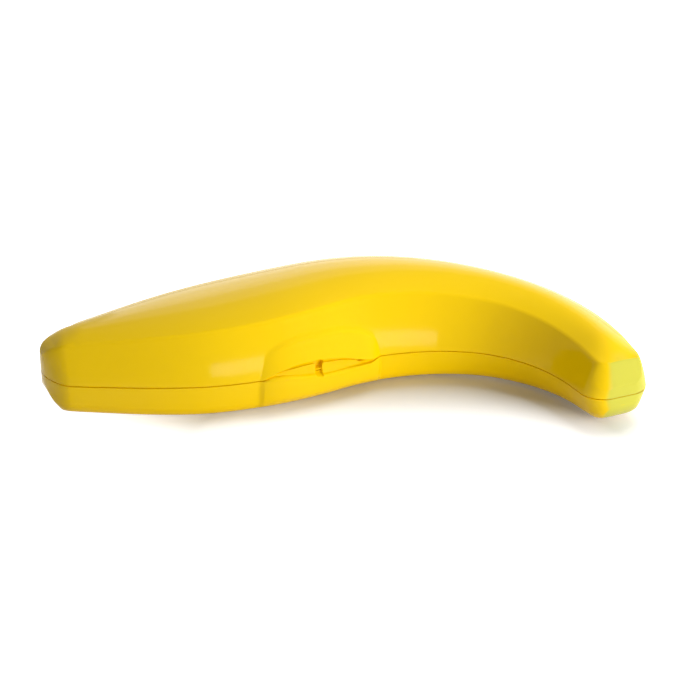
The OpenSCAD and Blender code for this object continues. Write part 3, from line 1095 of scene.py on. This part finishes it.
@dataclass
class Hinge:
    """Two stations of knuckles along X: a lid lug between two base ears, each bored for a steel pin."""

    form: CaseForm
    knuckle_d: float = 6.4
    lug_length: float = 7.0
    ear_length: float = 4.0
    knuckle_gap: float = 0.35
    wall_gap: float = 0.5
    web_height: float = 5.5
    web_bite: float = 1.2
    pin_d: float = 2.5
    lug_clearance: float = 0.05
    ear_clearance: float = 0.02
    edge: float = 0.35
    turns: int = 120

    def knuckle(self, half: Half, middle: Array) -> tuple[Array, Array]:
        """Closed ring of a knuckle and its web, worked out in polar form about the hinge line.

        The outline's radius at an angle is the larger of the knuckle's round and the reach of the web: the
        smallest distance at which a ray leaves the web's sides, where it has met the web at all.

        Args:
            half: Half that the knuckle is on: the lid's web lies above the parting line, the base's below.
            middle: Middle of the knuckle on the hinge line.

        Returns:
            The points in millimetres and the faces.
        """
        sizes = self.form.sizes
        if half is Half.LID:
            length, clearance, lean, up = self.lug_length, self.lug_clearance, sizes.lid_lean, 1
        else:
            length, clearance, up = self.ear_length, self.ear_clearance, -1
            lean = (sizes.blossom_lean + sizes.stem_lean) / 2
        a = np.linspace(0.0, 2 * np.pi, self.turns, endpoint=False)
        dy, dz = np.cos(a), np.sin(a) * up
        radius = self.knuckle_d / 2
        reach = radius + self.wall_gap + self.web_bite + self._drop(middle[0])
        to_wall = reach / np.maximum(-dy - math.tan(math.radians(lean)) * dz, TINY)
        to_top = radius / np.maximum(dz + (self.web_height - radius) / reach * dy, TINY)
        meets = (dy < 0) & (dz * radius > sizes.rim_gap / 2)
        outline = np.where(meets, np.maximum(radius, np.minimum(to_wall, to_top)), radius)
        x = length / 2 * np.array([-1, -1, -1, 1, 1, 1]) + self.edge * np.array([0, 0, 1, -1, 0, 0])
        radii = outline[:, None] - self.edge * np.array([0, 1, 0, 0, 1, 0])
        radii[:, [0, -1]] = self.pin_d / 2 + clearance
        ring = np.stack([
            np.broadcast_to(middle[0] + x, radii.shape),
            middle[1] + radii * dy[:, None],
            middle[2] + radii * np.sin(a)[:, None],
        ], axis=-1)
        faces = loop_faces(self.turns + 1, len(x)) % (self.turns * len(x))
        return ring.reshape(-1, 3), faces

    def build(self, shell: bpy.types.Material, steel: bpy.types.Material) -> None:
        """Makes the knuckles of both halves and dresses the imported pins.

        Args:
            shell: The shells' plastic.
            steel: The pins' steel.
        """
        offset = self.lug_length / 2 + self.knuckle_gap + self.ear_length / 2
        for name in ("hinge_pin_blossom", "hinge_pin_stem"):
            low, high = (np.array(c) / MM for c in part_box(name))
            middle = (low + high) / 2
            station = name.removeprefix("hinge_pin_")
            lug = self.knuckle(Half.LID, middle)
            Piece(f"lid_lug_{station}", *lug).dress(shell, Half.LID)
            for side, mark in ((-1, "left"), (1, "right")):
                ear = self.knuckle(Half.BASE, middle + np.array([side * offset, 0.0, 0.0]))
                Piece(f"base_ear_{station}_{mark}", *ear).dress(shell, Half.BASE)
            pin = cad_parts[name]
            pin.data.materials.clear()
            pin.data.materials.append(steel)
            LOG.info("%s: dressed", name)

    def _drop(self, x: float) -> float:
        """Distance that the back rim at x lies in front of its furthest point.

        Args:
            x: Place along X.

        Returns:
            The distance in millimetres.
        """
        s = self.form.stations()
        rim = self.form.line.at(s, self.form.half_width(s, 0.0))
        back = rim[rim[:, 1] > 0]
        order = np.argsort(back[:, 0])
        return float(rim[:, 1].max() - np.interp(x, back[order, 0], back[order, 1]))


@dataclass
class CatchProng:
    """Small hook under the lid that hangs in the slot of the base's grip."""

    form: CaseForm
    width: float = 1.0
    thickness: float = 0.6
    low: float = 0.2
    high: float = 1.2
    gap: float = -0.7
    squareness: float = 0.35
    rings: int = 23
    around: int = 40

    def build(self, shell: bpy.types.Material) -> Piece:
        """Makes the hook as a squared ellipsoid: powers of the sines and cosines of two angles.

        Args:
            shell: The shells' plastic.

        Returns:
            The finished piece.
        """
        form, grip = self.form, self.form.grip
        a = np.linspace(0.0, 2 * np.pi, self.around, endpoint=False)[None, :]
        b = np.linspace(-np.pi / 2, np.pi / 2, self.rings + 2)[1:-1, None]
        wide, deep, level, rise = (
            signed_power(v, self.squareness) for v in (np.cos(a), np.sin(a), np.cos(b), np.sin(b)))
        across = level * wide * self.width / 2
        out = level * deep * self.thickness / 2
        h = np.broadcast_to((self.low + self.high + rise * (self.high - self.low)) / 2, across.shape)
        middle = form.half_width(np.array(grip.catch_place), 0.0) + grip.recess_floor + self.gap
        place = form.line.at(grip.catch_place + across, -(middle + out))
        points = np.concatenate([place, (h + form.sizes.base_depth)[..., None]], axis=-1).reshape(-1, 3)
        cap = fold_faces(0, self.around - 1)
        top = cap + (self.rings - 1) * self.around
        faces = np.concatenate([loop_faces(self.rings, self.around), cap[:, ::-1], top])
        piece = Piece("lid_catch_prong", points, faces)
        piece.dress(shell, Half.LID)
        return piece


class Socket:
    """A shader socket on which Python's arithmetic adds Math nodes."""

    def __init__(self, graph: "Graph", socket: bpy.types.NodeSocket) -> None:
        """Wraps an output socket of a graph."""
        self.graph = graph
        self.socket = socket

    def _math(self, operation: str, a: object, b: object) -> "Socket":
        """Adds one Math node on two values."""
        return self.graph.node("ShaderNodeMath", {"operation": operation}, {0: a, 1: b})

    def __add__(self, other: object) -> "Socket":
        """Sum."""
        return self._math("ADD", self, other)

    __radd__ = __add__

    def __mul__(self, other: object) -> "Socket":
        """Product."""
        return self._math("MULTIPLY", self, other)

    __rmul__ = __mul__

    def __sub__(self, other: object) -> "Socket":
        """Difference."""
        return self._math("SUBTRACT", self, other)

    def __rsub__(self, other: object) -> "Socket":
        """Difference the other way round."""
        return self._math("SUBTRACT", other, self)


class Graph:
    """Node tree of one material or of the world."""

    def __init__(self, tree: bpy.types.NodeTree) -> None:
        """Empties the tree."""
        self.tree = tree
        tree.nodes.clear()

    def node(self, kind: str, settings: dict, inputs: dict, output: Union[int, str] = 0) -> Socket:
        """Adds a node, sets it up and fills its sockets.

        Args:
            kind: Blender's name for the node's type.
            settings: Values of the node's own properties, set first.
            inputs: Numbers, colours or sockets by the input's name or number.
            output: Name or number of the output to return.

        Returns:
            The wrapped output.
        """
        node = self.tree.nodes.new(kind)
        for key, value in settings.items():
            setattr(node, key, value)
        for key, value in inputs.items():
            if isinstance(value, Socket):
                self.tree.links.new(value.socket, node.inputs[key])
            else:
                node.inputs[key].default_value = value
        return Socket(self, node.outputs[output] if len(node.outputs) else None)

    def mix(self, factor: object, a: object, b: object) -> Socket:
        """Mixes two colours."""
        return self.node("ShaderNodeMix", {"data_type": "RGBA"}, {0: factor, 6: a, 7: b}, 2)

    def vector(self, operation: str, a: object, b: object) -> Socket:
        """Adds one Vector Math node on two vectors."""
        return self.node("ShaderNodeVectorMath", {"operation": operation}, {0: a, 1: b})

    def ease(self, value: Socket, span: Span) -> Socket:
        """Smooth step of a value, from 0 at the span's start to 1 at its end."""
        inputs = {"Value": value, "From Min": span[0], "From Max": span[1]}
        return self.node("ShaderNodeMapRange", {"interpolation_type": "SMOOTHSTEP"}, inputs)

    def grey(self, value: Socket) -> Socket:
        """Colour whose three shares are one value."""
        return self.node("ShaderNodeCombineColor", {}, {0: value, 1: value, 2: value})

    def place(self) -> Socket:
        """The piece's own coordinates."""
        return self.node("ShaderNodeTexCoord", {}, {}, "Object")

    def attribute(self, name: str) -> Socket:
        """Number that the mesh stores for each point."""
        return self.node("ShaderNodeAttribute", {"attribute_name": name}, {}, "Fac")

    def noise(self, place: Socket, scale: float, detail: float) -> Socket:
        """Noise on given coordinates, about 0.5 in the middle."""
        return self.node("ShaderNodeTexNoise", {}, {"Vector": place, "Scale": scale, "Detail": detail})


def new_material(name: str) -> tuple[bpy.types.Material, Graph]:
    """Makes an empty material.

    Args:
        name: Name of the material.

    Returns:
        The material and its graph.
    """
    made = bpy.data.materials.new(name)
    made.use_nodes = True
    return made, Graph(made.node_tree)


def linear(red: int, green: int, blue: int) -> tuple[float, float, float, float]:
    """Linear colour of a screen colour.

    Args:
        red: Red from 0 to 255.
        green: Green from 0 to 255.
        blue: Blue from 0 to 255.

    Returns:
        The linear shares by the sRGB curve, and a full alpha.
    """
    v = np.array([red, green, blue]) / 255
    v = np.where(v <= 0.04045, v / 12.92, ((v + 0.055) / 1.055) ** 2.4)
    return float(v[0]), float(v[1]), float(v[2]), 1.0


@dataclass(frozen=True)
class ShellPlastic:
    """Glossy moulded plastic, banana yellow, with painted shade in the recess and a painted lime tint of
    light on the stem end.
    """

    yellow: tuple[float, ...] = linear(251, 209, 4)
    deep: tuple[float, ...] = linear(249, 205, 2)
    # painted light: lime tint for the faces turned towards the stem end
    lime: tuple[float, ...] = linear(205, 199, 72)
    # painted shade: deeper orange for the recess and catch hole
    hollow: tuple[float, ...] = linear(250, 202, 0)
    roughness: float = 0.09
    roughness_spread: float = 0.03
    ior: float = 1.2
    cloud_scale: float = 38.0
    cloud_detail: float = 2.0
    skin_scale: float = 900.0
    skin_detail: float = 3.0
    skin_depth: float = 0.00001
    skin_strength: float = 0.3

    def material(self) -> bpy.types.Material:
        """Makes the material: clouded colour, painted shade by the hollow attribute, painted lime light by
        the tip attribute, and a faint moulded skin.

        Returns:
            The material.
        """
        made, g = new_material("shell_plastic")
        place = g.place()
        cloud = g.noise(place, self.cloud_scale, self.cloud_detail)
        colour = g.mix(cloud, self.deep, self.yellow)
        # painted shade of the recess and catch hole
        colour = g.mix(g.attribute("hollow"), colour, self.hollow)
        # painted lime light on the stem end
        colour = g.mix(g.attribute("tip"), colour, self.lime)
        rough = self.roughness - self.roughness_spread / 2 + cloud * self.roughness_spread
        skin = g.noise(place, self.skin_scale, self.skin_detail)
        bump = g.node("ShaderNodeBump", {}, {
            "Strength": self.skin_strength, "Distance": self.skin_depth, "Height": skin,
        })
        shader = g.node("ShaderNodeBsdfPrincipled", {}, {
            "Base Color": colour, "Roughness": rough, "Normal": bump, "IOR": self.ior,
        })
        g.node("ShaderNodeOutputMaterial", {}, {"Surface": shader})
        return made


@dataclass(frozen=True)
class PinSteel:
    """Drawn steel of the hinge pins, with fine lines along the wire."""

    bright: tuple[float, ...] = linear(205, 207, 210)
    dull: tuple[float, ...] = linear(165, 167, 171)
    roughness: float = 0.3
    roughness_spread: float = 0.15
    line_scale: tuple[float, ...] = (120.0, 6000.0, 6000.0)
    line_detail: float = 2.0

    def material(self) -> bpy.types.Material:
        """Makes the material: noise stretched along X moves the colour and the roughness.

        Returns:
            The material.
        """
        made, g = new_material("pin_steel")
        drawn = g.node("ShaderNodeMapping", {}, {"Vector": g.place(), "Scale": self.line_scale})
        lines = g.noise(drawn, 1.0, self.line_detail)
        shader = g.node("ShaderNodeBsdfPrincipled", {}, {
            "Base Color": g.mix(lines, self.dull, self.bright),
            "Roughness": self.roughness + lines * self.roughness_spread,
            "Metallic": 1.0,
        })
        g.node("ShaderNodeOutputMaterial", {}, {"Surface": shader})
        return made


@dataclass(frozen=True)
class Lamp:
    """A soft rectangular lamp: degrees from +X and up, metres from the case, metres across, watts."""

    name: str
    azimuth: float
    elevation: float
    distance: float
    size: Span
    power: float
    mirrored: bool = False


@dataclass
class Studio:
    """Pale floor, soft light and the camera at the photograph's viewing angle."""

    # Camera, in degrees and millimetres, with its clip distances in metres
    elevation: float = 27.72
    yaw: float = -4.52
    offset: tuple[float, float, float] = (-0.27, 5.68, -13.24)
    distance: float = 648.55
    lens: float = 85.0
    sensor: float = 36.0
    clip: Span = (0.01, 50.0)
    # Floor and its shadow, in metres
    floor_half: float = 3.0
    floor_white: float = 0.72
    grain_spread: float = 0.04
    grain_scale: float = 60.0
    grain_detail: float = 3.0
    shadow_centre: tuple[float, float, float] = (0.022, -0.03, 0.0)
    shadow_shape: tuple[float, float, float] = (0.72, 1.5, 1.0)
    shadow_reach: Span = (0.04, 0.092)
    arch_place: float = 0.04
    arch_start: float = -0.005
    arch_bend: float = 2.2
    arch_reach: Span = (0.006, 0.052)
    # Light, with the height of the lamps' aim in metres
    sky: float = 0.12
    aim_height: float = 0.02
    lamps: tuple[Lamp, ...] = (
        Lamp("back", 45.0, 66.0, 0.55, (0.3, 0.3), 1.8),
        Lamp("side", -16.0, 13.0, 0.65, (0.25, 0.25), 1.05),
        Lamp("front", -38.0, 12.0, 0.8, (0.3, 0.3), 3.2),
        Lamp("left", -125.0, 14.0, 0.8, (0.3, 0.3), 0.55),
        Lamp("card_low", 82.0, 9.0, 1.0, (1.2, 0.24), 1.0, True),
        Lamp("card_mid", 82.0, 23.0, 1.0, (1.2, 0.24), 1.3, True),
        Lamp("card_high", 82.0, 37.0, 1.0, (1.2, 0.24), 0.7, True),
        Lamp("strip", -62.0, 5.2, 1.02, (0.56, 0.1), 1.2, True),
    )

    def stand(self, name: str, data: bpy.types.ID, axes: Array, place: Array) -> bpy.types.Object:
        """Puts a camera, a lamp or a mesh into the scene.

        Args:
            name: Name of the object.
            data: What the object shows.
            axes: The object's own axes as columns.
            place: Its place in metres.

        Returns:
            The new object.
        """
        thing = bpy.data.objects.new(name, data)
        matrix = np.eye(4)
        matrix[:3, :3], matrix[:3, 3] = axes, place
        thing.matrix_world = Matrix(matrix.tolist())
        bpy.context.scene.collection.objects.link(thing)
        return thing

    def camera(self) -> None:
        """Stands the camera on the line of sight through the look point."""
        a, b = math.radians(self.elevation), math.radians(self.yaw)
        right = np.array([1.0, 0.0, 0.0])
        ahead = np.array([0.0, math.cos(a), -math.sin(a)])
        over = np.array([0.0, math.sin(a), math.cos(a)])
        turn = np.array([[math.cos(b), math.sin(b), 0.0], [-math.sin(b), math.cos(b), 0.0], [0.0, 0.0, 1.0]])
        place = turn @ (-self.distance * ahead - np.array(self.offset)) * MM
        data = bpy.data.cameras.new("camera")
        data.lens, data.sensor_width = self.lens, self.sensor
        data.clip_start, data.clip_end = self.clip
        axes = turn @ np.stack([right, over, -ahead], axis=1)
        bpy.context.scene.camera = self.stand("camera", data, axes, place)

    def seen(self, g: Graph) -> Socket:
        """Sum of the rays that show the background: camera, glossy and transmission rays.

        Args:
            g: Graph that the nodes go into.

        Returns:
            One for those rays and nothing for others.
        """
        names = ("Is Camera Ray", "Is Glossy Ray", "Is Transmission Ray")
        eye, gloss, glass = (g.node("ShaderNodeLightPath", {}, {}, name) for name in names)
        return eye + gloss + glass

    def clear_of_shadow(self, g: Graph) -> Socket:
        """Mask of the floor: nothing under and close to the case, one away from it.

        It grows with the distance from an oval round the case, or in front of a parabola along the inside
        of its curve, whichever is more.

        Args:
            g: Graph of the floor's material.

        Returns:
            The mask.
        """
        place = g.place()
        apart = g.vector("SUBTRACT", place, self.shadow_centre)
        oval = g.vector("MULTIPLY", apart, self.shadow_shape)
        far = g.node("ShaderNodeVectorMath", {"operation": "LENGTH"}, {0: oval}, "Value")
        x, y = (g.node("ShaderNodeSeparateXYZ", {}, {0: place}, k) for k in (0, 1))
        bow = x - self.arch_place
        ahead = self.arch_start - y - bow * bow * self.arch_bend
        masks = {0: g.ease(far, self.shadow_reach), 1: g.ease(ahead, self.arch_reach)}
        return g.node("ShaderNodeMath", {"operation": "MAXIMUM"}, masks)

    def floor(self) -> None:
        """Lays a pale floor that keeps the shadow and looks white elsewhere."""
        h = self.floor_half
        mesh = bpy.data.meshes.new("floor")
        mesh.from_pydata([(-h, -h, 0), (h, -h, 0), (h, h, 0), (-h, h, 0)], [], [(0, 1, 2, 3)])
        made, g = new_material("floor_paper")
        lift = self.seen(g) * self.clear_of_shadow(g)
        grain = g.noise(g.place(), self.grain_scale, self.grain_detail)
        shade = self.floor_white - self.grain_spread / 2 + grain * self.grain_spread
        paper = g.node("ShaderNodeBsdfDiffuse", {}, {"Color": g.grey(shade)})
        glow = g.node("ShaderNodeEmission", {}, {"Color": g.grey(lift)})
        shader = g.node("ShaderNodeAddShader", {}, {0: paper, 1: glow})
        g.node("ShaderNodeOutputMaterial", {}, {"Surface": shader})
        mesh.materials.append(made)
        self.stand("floor", mesh, np.eye(3), np.zeros(3))

    def world(self) -> None:
        """Gives an even sky, white to the camera and in reflections."""
        world = bpy.data.worlds.new("studio")
        bpy.context.scene.world = world
        world.use_nodes = True
        g = Graph(world.node_tree)
        strength = self.sky + self.seen(g) * (1.0 - self.sky)
        shader = g.node("ShaderNodeBackground", {}, {"Color": (1.0, 1.0, 1.0, 1.0), "Strength": strength})
        g.node("ShaderNodeOutputWorld", {}, {"Surface": shader})

    def lamp(self, lamp: Lamp) -> None:
        """Hangs one soft rectangular lamp that points at the case.

        Args:
            lamp: The lamp's place, size and power.
        """
        data = bpy.data.lights.new(lamp.name, "AREA")
        data.shape = "RECTANGLE"
        data.size, data.size_y = lamp.size
        data.energy = lamp.power
        a, b = math.radians(lamp.azimuth), math.radians(lamp.elevation)
        z = np.array([math.cos(a) * math.cos(b), math.sin(a) * math.cos(b), math.sin(b)])
        x = np.array([-math.sin(a), math.cos(a), 0.0])
        place = z * lamp.distance + np.array([0.0, 0.0, self.aim_height])
        thing = self.stand(lamp.name, data, np.stack([x, np.cross(z, x), z], axis=1), place)
        thing.visible_glossy = lamp.mirrored

    def build(self) -> None:
        """Sets up the whole studio."""
        bpy.context.scene.view_settings.view_transform = "Standard"
        self.camera()
        self.floor()
        self.world()
        for lamp in self.lamps:
            self.lamp(lamp)


def main() -> None:
    """Builds the studio and every piece of the case."""
    logging.basicConfig(level=logging.INFO)
    Studio().build()
    form = CaseForm(CaseSizes(), GripSizes(), SectionPitch())
    plastic = ShellPlastic().material()
    steel = PinSteel().material()
    BaseShell(form).build(plastic)
    LidShell(form).build(plastic)
    Hinge(form).build(plastic, steel)
    CatchProng(form).build(plastic)


if __name__ == "__main__":
    main()
